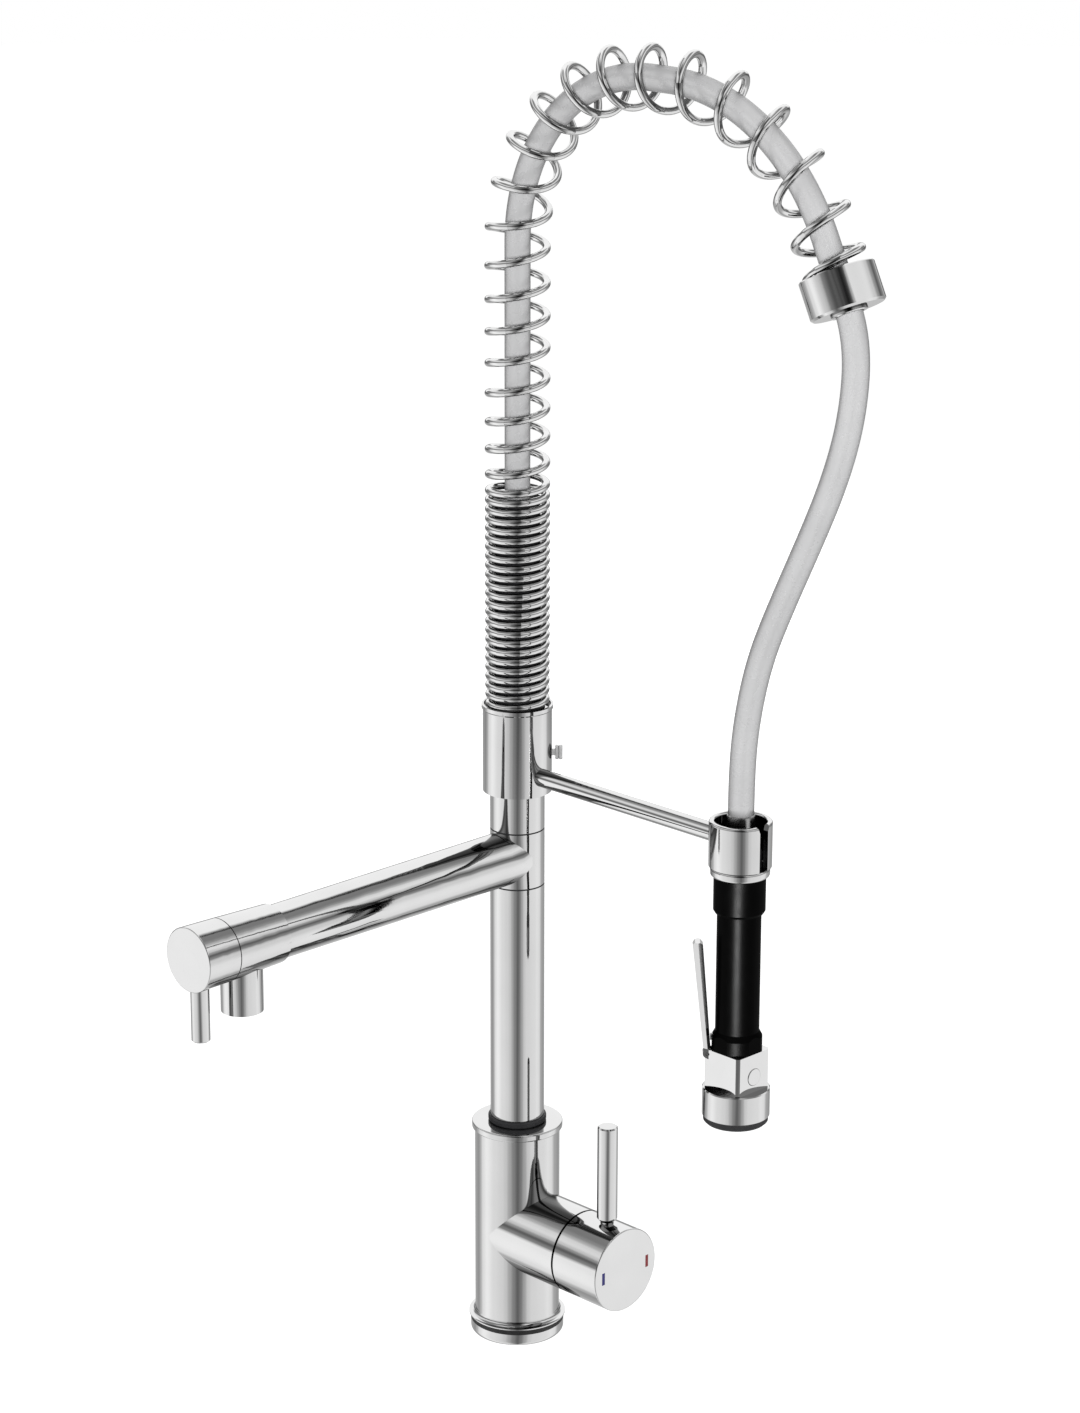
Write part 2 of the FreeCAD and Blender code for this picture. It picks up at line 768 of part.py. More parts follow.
def make_holder():
    ring = tube(holder_r, holder_in_r, holder_bottom_z, holder_top_z, SPRAY)
    ring = rounded(ring, holder_round, lambda c, r: near(c.z, holder_top_z))
    half = holder_slot_w / 2
    flare = half + holder_slot_flare
    points = [
        Vector(spray_x, -half, holder_bottom_z - 1),
        Vector(spray_x, half, holder_bottom_z - 1),
        Vector(spray_x, half, holder_top_z - 3.5),
        Vector(spray_x, flare, holder_top_z + 1),
        Vector(spray_x, -flare, holder_top_z + 1),
        Vector(spray_x, -half, holder_top_z - 3.5),
    ]
    slot = Part.Face(Part.makePolygon(points + [points[0]])).extrude(Vector(holder_r + 1, 0, 0))
    save("holder_ring", ring.cut(slot))


# ---------------------------------------------------------------- spout


def make_spout_arm():
    low = hub_low_z + seam_ring_h / 2 + face_gap
    high = hub_high_z - seam_ring_h / 2 - face_gap
    sleeve = cylinder(riser_r, low, high)
    arm = Part.makeCone(spout_root_r, spout_tip_r, spout_arm_reach, SPOUT, SPOUT_OUT)
    spigot_end = spout_arm_reach + spigot_len
    spigot = cylinder(spout_bore_r + 1.4, spout_arm_reach - 1, spigot_end, SPOUT, SPOUT_OUT)
    arm = sleeve.fuse(arm).fuse(spigot)
    arm = arm.cut(cylinder(spout_bore_r, 0, spigot_end + 1, SPOUT, SPOUT_OUT))
    arm = arm.cut(cylinder(spigot_r + turning_gap, low - 1, high + 1))
    save("spout_arm", arm)


def make_spout_housing():
    length = housing_end - spout_arm_reach
    housing = Part.makeCone(
        housing_root_r, housing_r, length, SPOUT + SPOUT_OUT * spout_arm_reach, SPOUT_OUT
    )
    outlet = Vector(0, -outlet_reach, 0)
    housing = housing.fuse(cylinder(outlet_r, outlet_bottom_z, spout_axis_z, outlet))
    spigot_r_out = spout_bore_r + 1.4 + fixed_gap
    spigot_end = spout_arm_reach + spigot_len
    housing = housing.cut(
        cylinder(spigot_r_out, spout_arm_reach - 1, spigot_end + 0.2, SPOUT, SPOUT_OUT)
    )
    housing = housing.cut(cylinder(6.0, spigot_end, headwork_seat + 1, SPOUT, SPOUT_OUT))
    housing = housing.cut(
        cylinder(headwork_r + fixed_gap, headwork_seat, housing_end + 1, SPOUT, SPOUT_OUT)
    )
    housing = housing.cut(
        cylinder(
            headwork_flange_r + fixed_gap, housing_end - headwork_flange_h, housing_end + 1,
            SPOUT, SPOUT_OUT,
        )
    )
    insert_r = outlet_r - outlet_wall
    insert_top = outlet_bottom_z + aerator_recess + aerator_h + aerator_washer_h
    housing = housing.cut(cylinder(insert_r, outlet_bottom_z - 1, insert_top, outlet))
    housing = housing.cut(cylinder(5.0, insert_top - 1, spout_axis_z, outlet))
    save("spout_housing", housing)


def make_headwork():
    end = housing_end
    neck_end = end + headwork_neck_len
    cavity_end = headwork_seat + 9.5
    body = turned(
        [
            (headwork_disc_r + face_gap, headwork_seat), (headwork_r, headwork_seat),
            (headwork_r, end - headwork_flange_h), (headwork_flange_r, end - headwork_flange_h),
            (headwork_flange_r, end), (headwork_neck_r, end), (headwork_neck_r, neck_end),
            (headwork_spindle_r + 1 + turning_gap, neck_end),
            (headwork_spindle_r + 1 + turning_gap, cavity_end),
            (headwork_disc_r + face_gap, cavity_end),
        ],
        SPOUT, SPOUT_OUT,
    )
    side = SPOUT + SPOUT_OUT * outlet_reach
    body = body.cut(cylinder(3.0, headwork_disc_r - 2, headwork_r + 1, side, -UP))
    save("headwork_body", body)
    fixed_end = headwork_seat + headwork_disc_h
    fixed = cylinder(headwork_disc_r, headwork_seat, fixed_end, SPOUT, SPOUT_OUT)
    port = box(
        (-5, -fixed_end - 1, spout_axis_z + 1.5), (5, -headwork_seat + 1, spout_axis_z + 6)
    )
    save("headwork_disc_fixed", fixed.cut(port))
    turning_start = fixed_end + 0.02
    turning_end = turning_start + headwork_disc_h
    turning = cylinder(headwork_disc_r, turning_start, turning_end, SPOUT, SPOUT_OUT)
    port = box(
        (-5, -turning_end - 1, spout_axis_z - 6), (5, -turning_start + 1, spout_axis_z - 1.5)
    )
    save("headwork_disc_turning", turning.cut(port))
    spindle = turned(
        [
            (0, turning_end), (headwork_disc_r, turning_end),
            (headwork_disc_r, cavity_end - face_gap),
            (headwork_spindle_r + 1, cavity_end - face_gap),
            (headwork_spindle_r + 1, neck_end), (headwork_spindle_r, neck_end),
            (headwork_spindle_r, knob_end - knob_face_wall), (0, knob_end - knob_face_wall),
        ],
        SPOUT, SPOUT_OUT,
    )
    flat = box(
        (-headwork_spindle_r, -knob_end, spout_axis_z - headwork_spindle_r - 1),
        (headwork_spindle_r, -neck_end - 4, spout_axis_z - headwork_spindle_r + 0.8),
    )
    save("headwork_spindle", spindle.cut(flat))


def knob_outside():
    start = housing_end + knob_seam
    return Part.makeCone(
        housing_r + 0.02, knob_r, knob_end - start, SPOUT + SPOUT_OUT * start, SPOUT_OUT
    )


def make_knob():
    start = housing_end + knob_seam
    knob = knob_outside()
    face_edge = [
        e for e in knob.Edges
        if isinstance(e.Curve, Part.Circle) and near(e.Curve.Center.y, -knob_end)
    ]
    knob = knob.makeFillet(knob_edge, face_edge)
    cavity_end = knob_end - knob_face_wall
    knob = knob.cut(cylinder(housing_r - knob_wall, start - 1, cavity_end, SPOUT, SPOUT_OUT))
    boss_start = cavity_end - knob_boss_len
    knob = knob.fuse(cylinder(knob_boss_r, boss_start, cavity_end + 1, SPOUT, SPOUT_OUT))
    knob = knob.cut(
        cylinder(headwork_spindle_r + fixed_gap, boss_start - 1, cavity_end, SPOUT, SPOUT_OUT)
    )
    stick_axis = SPOUT + SPOUT_OUT * knob_stick_reach
    knob = knob.cut(cylinder(knob_stud_r + fixed_gap, 0, knob_r + 1, stick_axis, -UP))
    save("spout_knob", knob)
    bottom = spout_axis_z - knob_stick_bottom_z
    stick = turned(
        [
            (0, knob_r - 2), (knob_stick_r, knob_r - 2), (knob_stick_r, bottom - 0.7),
            (knob_stick_r - 0.7, bottom), (0, bottom),
        ],
        stick_axis, -UP,
    )
    stick = stick.cut(knob_outside())
    stud_end = headwork_spindle_r - 0.8 + fixed_gap
    stick = stick.fuse(cylinder(knob_stud_r, stud_end, knob_r + 1, stick_axis, -UP))
    save("knob_stick", stick)


def make_aerator():
    outlet = Vector(0, -outlet_reach, 0)
    outer = outlet_r - outlet_wall - fixed_gap
    start = outlet_bottom_z + aerator_recess
    end = start + aerator_h
    ring = tube(outer, outer - aerator_rim, start, end, outlet)
    plate = cylinder(outer - aerator_rim, start + 1.2, start + 3.4, outlet)
    ring_step = (outer - aerator_rim - aerator_edge - aerator_hole_r) / (len(aerator_counts) - 1)
    for ring_number, count in enumerate(aerator_counts):
        for i in range(count):
            centre = outlet + direction(360.0 * i / count) * (ring_number * ring_step)
            plate = plate.cut(cylinder(aerator_hole_r, start, start + 4, centre))
    save("aerator", ring.fuse(plate))
    save("aerator_washer", tube(outer, outer - 3.5, end, end + aerator_washer_h, outlet))


# ------------------------------------------------- arch, spring and hose


def arch_point(s):
    """The place and heading, as (x, z) pairs, s along the arch line from the collar's seat."""
    z = collar_seat_z + s
    if z <= arch_spring_z:
        return (0.0, z), (0.0, 1.0)
    s -= arch_spring_z - collar_seat_z
    quarter = arch_rise_r * math.pi / 2
    if s <= quarter:
        a = s / arch_rise_r
        place = (arch_rise_r * (1 - math.cos(a)), arch_spring_z + arch_rise_r * math.sin(a))
        return place, (math.sin(a), math.cos(a))
    s -= quarter
    top_z = arch_spring_z + arch_rise_r
    if s <= arch_flat:
        return (arch_rise_r + s, top_z), (1.0, 0.0)
    s -= arch_flat
    turn = math.radians(arch_fall_turn)
    a = min(s / arch_fall_r, turn)
    rest = max(0.0, s - arch_fall_r * turn)
    x = arch_rise_r + arch_flat + arch_fall_r * math.sin(a) + rest * math.cos(a)
    z = top_z - arch_fall_r * (1 - math.cos(a)) - rest * math.sin(a)
    return (x, z), (math.cos(a), -math.sin(a))


fall_end_s = (
    arch_spring_z - collar_seat_z
    + arch_rise_r * math.pi / 2
    + arch_flat
    + arch_fall_r * math.radians(arch_fall_turn)
)
arch_end_s = fall_end_s + arch_tail
cap_floor_s = arch_end_s - cap_grip
cap_top_s = cap_floor_s - (cap_len - cap_floor)


def arch_frame(s):
    """The arch line's place, its heading and its outward side, as vectors."""
    (x, z), (tx, tz) = arch_point(s)
    return Vector(x, 0, z), Vector(tx, 0, tz), Vector(-tz, 0, tx)


def arch_wire(start_s, end_s):
    """The arch line between two distances, as straight edges and arcs."""
    quarter = arch_rise_r * math.pi / 2
    rise_s = arch_spring_z - collar_seat_z
    breaks = [start_s, rise_s, rise_s + quarter, rise_s + quarter + arch_flat, fall_end_s, end_s]
    curved = [False, True, False, True, False]
    edges = []
    for i, is_arc in enumerate(curved):
        a, _, _ = arch_frame(breaks[i])
        b, _, _ = arch_frame(breaks[i + 1])
        if is_arc:
            middle, _, _ = arch_frame((breaks[i] + breaks[i + 1]) / 2)
            edges.append(Part.Arc(a, middle, b).toShape())
        else:
            edges.append(Part.LineSegment(a, b).toShape())
    return Part.Wire(edges)


def pipe(wire, radius, start, heading):
    """A solid round tube along a wire."""
    circle = Part.Wire([Part.makeCircle(radius, start, heading)])
    shell = Part.BRepOffsetAPI.MakePipeShell(wire)
    shell.add(circle)
    shell.build()
    shell.makeSolid()
    return shell.shape()


def open_run(turns):
    """How far the wire climbs in so many turns of the open stretch, before it is fitted."""
    climbed = 0.0
    for (n0, pitch0), (n1, pitch1) in zip(open_pitches, open_pitches[1:]):
        part = min(turns, n1) - n0
        if part <= 0:
            break
        slope = (pitch1 - pitch0) / (n1 - n0)
        climbed += part * (pitch0 + slope * part / 2)
    return climbed


# the open stretch is fitted so that the wire ends just above the cap's floor
open_turns = open_pitches[-1][0]
open_length = (
    cap_floor_s - spring_end_gap - wire_r
    - (spring_start_z - collar_seat_z) - dense_pitch * dense_turns
)
open_fit = open_length / open_run(open_turns)


def spring_place(turns):
    """How far along the arch line the wire is after so many turns."""
    start = spring_start_z - collar_seat_z
    if turns <= dense_turns:
        return start + dense_pitch * turns
    return start + dense_pitch * dense_turns + open_fit * open_run(turns - dense_turns)


def coil_point(turns):
    place, heading, outward = arch_frame(spring_place(turns))
    angle = 2 * math.pi * turns + math.radians(spring_phase)
    side = heading.cross(outward)
    return place + (outward * math.cos(angle) + side * math.sin(angle)) * coil_r


def coil_tangent(turns):
    step = 1e-5
    tangent = coil_point(turns + step) - coil_point(turns - step)
    return tangent.normalize()


def arc_between(a, corner, b):
    """An arc from a to b whose end tangents meet at the corner."""
    weight = (corner - a).normalize().dot((b - a).normalize())
    middle = (a + corner * (2 * weight) + b) * (1 / (2 + 2 * weight))
    return Part.Arc(a, middle, b).toShape()


def biarc(a, ta, b, tb):
    """Two tangent arcs from a to b that leave along ta and arrive along tb."""
    v = b - a
    t = ta + tb
    qa = t.dot(t) - 4
    qb = -2 * v.dot(t)
    qc = v.dot(v)
    d = (-qb - math.sqrt(qb * qb - 4 * qa * qc)) / (2 * qa)
    if d < 0:
        d = (-qb + math.sqrt(qb * qb - 4 * qa * qc)) / (2 * qa)
    first = a + ta * d
    second = b - tb * d
    joint = (first + second) * 0.5
    return [arc_between(a, first, joint), arc_between(joint, second, b)]


def make_spring():
    total = dense_turns + open_turns
    steps = int(round(total * 4))
    stations = [total * i / steps for i in range(steps + 1)]
    edges = []
    for a, b in zip(stations, stations[1:]):
        edges += biarc(coil_point(a), coil_tangent(a), coil_point(b), coil_tangent(b))
    wire = Part.Wire(edges)
    spring = pipe(wire, wire_r, coil_point(0), coil_tangent(0))
    save("support_spring", spring)
    # the least gap between one turn and the next, on points along the wire
    per_turn = 48
    points = [coil_point(i / per_turn) for i in range(int(total * per_turn) + 1)]
    least = 1e9
    for i, p in enumerate(points):
        for q in points[i + per_turn // 2 : i + per_turn * 3 // 2]:
            least = min(least, (p - q).Length)
    print("support_spring least gap to itself %.2f mm" % (least - 2 * wire_r))
    print("support_spring wire length %.0f mm, turns %.1f" % (wire.Length, total))
    print("support_spring end %.2f before the cap's floor %.2f"
          % (spring_place(total) + wire_r, cap_floor_s))


def make_inner_hose():
    start, heading, _ = arch_frame(0)
    hose = pipe(arch_wire(0, arch_end_s), hose_r, start, heading)
    save("inner_hose", hose)
    fitting = turned(
        [
            (5.0, collar_seat_z - fitting_flange_h - fitting_thread_len),
            (spigot_r, collar_seat_z - fitting_flange_h - fitting_thread_len),
            (spigot_r, collar_seat_z - fitting_flange_h - 1),
            (fitting_flange_r, collar_seat_z - fitting_flange_h - 1),
            (fitting_flange_r, collar_seat_z),
            (guide_r, collar_seat_z),
            (guide_r, guide_top_z),
            (hose_r + fixed_gap, guide_top_z),
            (hose_r + fixed_gap, collar_seat_z),
            (5.0, collar_seat_z),
        ]
    )
    save("hose_fitting", fitting)


def make_cap():
    place, heading, _ = arch_frame(cap_top_s)
    inner = cap_r - cap_wall
    hole = hose_r + fixed_gap
    mouth = cap_mouth_r
    depth = cap_len - cap_floor
    mouth_start = depth + cap_grip
    cap = turned(
        [
            (inner, 0), (cap_r - 0.6, 0), (cap_r, 0.6), (cap_r, cap_len - 1.2),
            (cap_r - 1.2, cap_len), (mouth, cap_len), (mouth, mouth_start),
            (hole, mouth_start), (hole, depth), (inner, depth),
        ],
        place, heading,
    )
    save("end_cap", cap)
    foot = place + heading * cap_len
    ring = turned(
        [
            (mouth, 0), (cap_ring_r, 0), (cap_ring_r, cap_ring_h - 0.5),
            (cap_ring_r - 0.5, cap_ring_h), (mouth, cap_ring_h),
        ],
        foot, heading,
    )
    save("cap_ring", ring)


def make_free_hose():
    start, heading, _ = arch_frame(arch_end_s)
    end = Vector(spray_x, 0, hose_end_z)
    points = [start, start + heading * hose_lead]
    points += [Vector(x, 0, z) for x, z in hose_points]
    points += [end + UP * hose_tail, end]
    edges = []
    last = points[0]
    for i in range(1, len(points) - 1):
        before = points[i] - points[i - 1]
        after = points[i + 1] - points[i]
        turn = before.getAngle(after)
        reach = arc_share * min(before.Length, after.Length)
        radius = reach / math.tan(turn / 2)
        print("free_hose point %d turn %.1f deg radius %.0f mm run %.1f"
              % (i, math.degrees(turn), radius, before.Length))
        a = points[i] - before.normalize() * reach
        b = points[i] + after.normalize() * reach
        edges.append(Part.LineSegment(last, a).toShape())
        edges.append(arc_between(a, points[i], b))
        last = b
    edges.append(Part.LineSegment(last, points[-1]).toShape())
    wire = Part.Wire(edges)
    hose = pipe(wire, hose_r, points[0], points[1] - points[0])
    save("free_hose", hose)
    print("free_hose length %.1f mm, volume over section times length %.4f"
          % (wire.Length, hose.Volume / (math.pi * hose_r**2 * wire.Length)))
    print("free_hose route", [(round(p.x, 2), round(p.z, 2)) for p in points])


# ----------------------------------------------------------- hand spray


def trigger_flanks():
    """A bar along the blade, widest at its ridge, that slopes its two sides."""
    along = Vector(trigger_top_r - trigger_pivot_r, 0, trigger_top_z - trigger_pivot_z)
    length = along.Length + 2 * trigger_top_t
    along = along.normalize()
    out = Vector(along.z, 0, -along.x)
    across = Vector(0, 1, 0)
    start = Vector(spray_x + trigger_pivot_r, 0, trigger_pivot_z) - along * trigger_top_t
    reach = max(trigger_t, trigger_top_t) / 2 + trigger_flank_over
    half = trigger_w / 2
    outer = half - trigger_outer_slope * (reach + trigger_ridge)
    inner = half - trigger_inner_slope * (reach - trigger_ridge)
    section = [
        (-reach, -inner), (-trigger_ridge, -half), (reach, -outer),
        (reach, outer), (-trigger_ridge, half), (-reach, inner),
    ]
    corners = [start + out * u + across * v for u, v in section]
    return Part.Face(Part.makePolygon(corners + [corners[0]])).extrude(along * length)


def trigger_face_r(side, z):
    """How far the blade's outer (1) or inner (-1) face is from the spray's axis."""
    low = trigger_pivot_r + side * trigger_t / 2
    high = trigger_top_r + side * trigger_top_t / 2
    return low + (high - low) * (z - trigger_pivot_z) / (trigger_top_z - trigger_pivot_z)


def trigger_solid():
    """The trigger, drawn along +X from the spray's axis."""
    low_z = bulge_top_z - 3
    bevel_z = trigger_top_z - trigger_top_bevel
    outline = [
        (trigger_face_r(-1, trigger_pivot_z), trigger_pivot_z),
        (trigger_face_r(1, trigger_pivot_z), trigger_pivot_z),
        (trigger_face_r(1, bevel_z), bevel_z),
        (trigger_face_r(1, trigger_top_z) - trigger_top_bevel, trigger_top_z),
        (trigger_face_r(-1, trigger_top_z) + trigger_top_bevel, trigger_top_z),
        (trigger_face_r(-1, bevel_z), bevel_z),
    ]
    points = [Vector(spray_x + r, 0, z) for r, z in outline]
    face = Part.Face(Part.makePolygon(points + [points[0]]))
    face.translate(Vector(0, -trigger_w / 2, 0))
    blade = face.extrude(Vector(0, trigger_w, 0)).common(trigger_flanks())
    half_foot = trigger_foot_w / 2
    # the foot is narrower than the blade
    for side in (-1, 1):
        low = min(side * half_foot, side * (trigger_w / 2 + 1))
        high = max(side * half_foot, side * (trigger_w / 2 + 1))
        blade = blade.cut(
            box(
                (spray_x + trigger_pivot_r - 6, low, trigger_pivot_z - 5),
                (spray_x + trigger_face_r(1, low_z) + 4, high, head_top_z + 1.0),
            )
        )
    pivot = Vector(spray_x + trigger_pivot_r, 0, trigger_pivot_z)
    across = Vector(0, 1, 0)
    foot = cylinder(trigger_foot_r, -half_foot, half_foot, pivot, across)
    hole = cylinder(trigger_pin_r + turning_gap, -trigger_w, trigger_w, pivot, across)
    return blade.fuse(foot).cut(hole)


def head_notch():
    """The slot in the head's corner that the trigger's foot turns in."""
    half = trigger_foot_w / 2 + trigger_notch_gap
    floor_r = trigger_pivot_r - trigger_foot_r - trigger_notch_gap
    return box(
        (spray_x + floor_r, -half, trigger_pivot_z - trigger_foot_r - trigger_notch_gap),
        (spray_x + head_corner_r + 3, half, head_top_z + 1),
    )


def make_trigger():
    save("trigger_lever", turned_about_spray(trigger_solid(), trigger_direction))
    pivot = Vector(spray_x + trigger_pivot_r, 0, trigger_pivot_z)
    half = min(trigger_pin_len, 2 * pin_half_reach()) / 2
    pin = cylinder(trigger_pin_r, -half, half, pivot, Vector(0, 1, 0))
    save("trigger_pin", turned_about_spray(pin, trigger_direction))
    lever_inside = trigger_face_r(-1, plunger_z)
    plunger = cylinder(
        plunger_r, plunger_in_r, lever_inside - seat_gap, SPRAY + UP * plunger_z, ALONG_X
    )
    save("valve_plunger", turned_about_spray(plunger, trigger_direction))


def pin_half_reach():
    """Half the width of the head's corner at the pin."""
    return math.sqrt(2) * head_half_side - trigger_pivot_r


def square_prism(half, start, end):
    return box((spray_x - half, -half, start), (spray_x + half, half, end))


def make_grip():
    top_z = grip_z
    step_z = top_z - grip_top_h
    bottom = head_top_z
    bore = head_tube_r + fixed_gap
    outline = [
        (bore, top_z), (grip_top_r, top_z), (grip_top_r, step_z + grip_step),
        (grip_top_r - grip_step * 0.6, step_z), (grip_r, step_z), (grip_r, bulge_top_z),
        (bulge_r, bulge_top_z - bulge_rise), (bulge_r, bottom), (bore, bottom),
    ]
    grip = turned(outline, SPRAY)
    flats = square_prism(head_half_side, bottom, bulge_top_z)
    above = cylinder(bulge_r + 1, bulge_top_z, top_z + 1, SPRAY)
    grip = grip.common(flats.fuse(above))
    hole = cylinder(plunger_r + turning_gap, 0, bulge_r + 2, SPRAY + UP * plunger_z, ALONG_X)
    save("grip", grip.cut(turned_about_spray(hole, trigger_direction)))


def make_head():
    corner = cylinder(head_corner_r, head_step_z, head_top_z, SPRAY)
    head = square_prism(head_half_side, head_step_z, head_top_z).common(corner)
    skirt = cylinder(head_r, head_bottom_z, head_step_z, SPRAY)
    skirt = skirt.makeChamfer(head_edge, skirt.Edges)
    head = head.fuse(skirt)
    head = head.cut(
        cylinder(head_tube_r + fixed_gap, head_tube_seat_z, head_top_z + 1, SPRAY)
    )
    head = head.cut(cylinder(head_tube_bore_r, head_bottom_z, head_top_z, SPRAY))
    head = head.cut(
        cylinder(head_chamber_r, head_bottom_z - 1, head_step_z - 5, SPRAY)
    )
    pivot = Vector(spray_x + trigger_pivot_r, 0, trigger_pivot_z)
    pin_hole = cylinder(trigger_pin_r + fixed_gap / 2, -12, 12, pivot, Vector(0, 1, 0))
    head = head.cut(turned_about_spray(head_notch().fuse(pin_hole), trigger_direction))
    plug_axis = SPRAY + UP * plug_z
    plug_start = head_half_side - plug_depth
    head = head.cut(
        cylinder(plug_r + fixed_gap, plug_start, head_half_side + 1, plug_axis, ALONG_X)
    )
    save("head_body", head)
    plug = cylinder(plug_r, plug_start, head_half_side + plug_proud, plug_axis, ALONG_X)
    plug = plug.makeFillet(
        plug_proud * 0.9,
        [e for e in plug.Edges if near(e.BoundBox.XMin, spray_x + head_half_side + plug_proud)],
    )
    save("side_plug", plug)


def make_head_tube():
    start = head_tube_seat_z
    end = head_collar_z + head_collar_h + hose_nut_h * 0.7
    bore = tube(head_tube_r, head_tube_bore_r, start, end, SPRAY)
    hole = cylinder(plunger_r + turning_gap, 0, head_tube_r + 2, SPRAY + UP * plunger_z, ALONG_X)
    save("head_tube", bore.cut(turned_about_spray(hole, trigger_direction)))


def make_head_collar():
    start = head_collar_z
    end = start + head_collar_h
    ring = tube(head_collar_r, head_tube_r + fixed_gap, start, end, SPRAY)
    save(
        "head_collar",
        rounded(ring, head_collar_round, lambda c, r: near(r, head_collar_r)),
    )
    nut_top = end + hose_nut_h
    bore = head_tube_r + fixed_gap
    nut = turned(
        [
            (bore, end), (hose_nut_r, end), (hose_nut_r, nut_top - 4.5),
            (hose_nut_top_r, nut_top), (0, nut_top), (0, nut_top - 2.5), (bore, nut_top - 2.5),
        ],
        SPRAY,
    )
    save("hose_nut", nut)
    ferrule_start = nut_top
    ferrule = turned(
        [
            (0, ferrule_start), (ferrule_r, ferrule_start), (ferrule_r, hose_end_z - 0.5),
            (ferrule_r - 0.5, hose_end_z), (0, hose_end_z),
        ],
        SPRAY,
    )
    save("hose_ferrule", ferrule)


def make_spray_face():
    top = head_bottom_z
    bottom = top - face_h
    face = turned(
        [
            (0, bottom + face_recess), (face_r - 3.2, bottom + face_recess),
            (face_r - 2.6, bottom), (face_r - face_edge, bottom), (face_r, bottom + face_edge),
            (face_r, top), (0, top),
        ],
        SPRAY,
    )
    ring_step = (head_chamber_r - nozzle_r) / (len(nozzle_counts) - 1)
    for ring_number, count in enumerate(nozzle_counts):
        for i in range(count):
            centre = SPRAY + direction(360.0 * i / count) * (ring_number * ring_step)
            face = face.cut(cylinder(nozzle_r, bottom - 1, top + 1, centre))
    save("spray_face", face)


make_foot()
make_body_shell()
make_valve_column()
make_barrel()
make_body_top()
make_cartridge()
make_carrier()
make_spindle()
make_hub()
make_stick()
make_marks()
make_riser()
make_collar()
make_spray_arm()
make_holder()
make_spout_arm()
make_spout_housing()
make_headwork()
make_knob()
make_aerator()
make_inner_hose()
make_cap()
make_free_hose()
make_head_collar()
make_grip()
make_head_tube()
make_head()
make_spray_face()
make_trigger()
make_spring()
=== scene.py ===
import json
import math

import bmesh
import bpy
from mathutils import Matrix, Vector


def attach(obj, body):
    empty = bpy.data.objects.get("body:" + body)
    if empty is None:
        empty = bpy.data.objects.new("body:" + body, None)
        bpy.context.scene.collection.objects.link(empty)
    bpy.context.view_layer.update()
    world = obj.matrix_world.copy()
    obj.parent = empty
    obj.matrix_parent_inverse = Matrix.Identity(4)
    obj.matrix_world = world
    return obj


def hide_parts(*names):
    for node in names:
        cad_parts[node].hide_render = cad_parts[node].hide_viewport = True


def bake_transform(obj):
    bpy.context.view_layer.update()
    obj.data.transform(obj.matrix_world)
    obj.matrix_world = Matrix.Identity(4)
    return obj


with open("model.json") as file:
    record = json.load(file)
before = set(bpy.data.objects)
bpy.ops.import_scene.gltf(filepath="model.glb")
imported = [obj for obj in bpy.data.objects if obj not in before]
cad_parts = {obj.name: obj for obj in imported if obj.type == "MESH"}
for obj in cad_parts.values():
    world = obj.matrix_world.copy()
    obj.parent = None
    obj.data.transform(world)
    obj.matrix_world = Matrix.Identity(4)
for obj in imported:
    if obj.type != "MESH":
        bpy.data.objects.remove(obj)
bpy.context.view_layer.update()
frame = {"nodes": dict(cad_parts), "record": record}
nodes = frame["nodes"]

# ---------------------------------------------------------------- camera
# Place and lens found from the photograph, in the part's own frame (metres).
CAMERA_AZIMUTH = math.radians(45.28)
CAMERA_PITCH = math.radians(17.12)
CAMERA_ROLL = -0.0021
CAMERA_PLACE = (1.51697, -1.48394, 1.04539)
FOCAL_PX = 3865.0
IMAGE_WIDTH = 1080
SENSOR_MM = 36.0
CLIP_NEAR, CLIP_FAR = 0.05, 50.0


def make_camera():
    sa, ca = math.sin(CAMERA_AZIMUTH), math.cos(CAMERA_AZIMUTH)
    sp, cp = math.sin(CAMERA_PITCH), math.cos(CAMERA_PITCH)
    back = Vector((sa * cp, -ca * cp, sp))
    right = Vector((ca, sa, 0.0))
    up = back.cross(right)
    sr, cr = math.sin(CAMERA_ROLL), math.cos(CAMERA_ROLL)
    right, up = right * cr - up * sr, up * cr + right * sr
    data = bpy.data.cameras.new("camera")
    data.sensor_fit = "HORIZONTAL"
    data.sensor_width = SENSOR_MM
    data.lens = FOCAL_PX / IMAGE_WIDTH * SENSOR_MM
    data.clip_start = CLIP_NEAR
    data.clip_end = CLIP_FAR
    camera = bpy.data.objects.new("camera", data)
    bpy.context.scene.collection.objects.link(camera)
    turn = Matrix((right, up, back)).transposed().to_4x4()
    camera.matrix_world = Matrix.Translation(CAMERA_PLACE) @ turn
    bpy.context.scene.camera = camera


make_camera()

# ------------------------------------------------------------- materials
# how dark the painted shade on polished pieces' reflections of one another gets, and at which
# glossy depth
DARKEST_PAINTED_INNER_REFLECTION = 0.05
DARKEST_AT_DEPTH = 1.3
# the wear that varies the roughness is finer than the colour's blotches
WEAR_FINENESS = 2.7

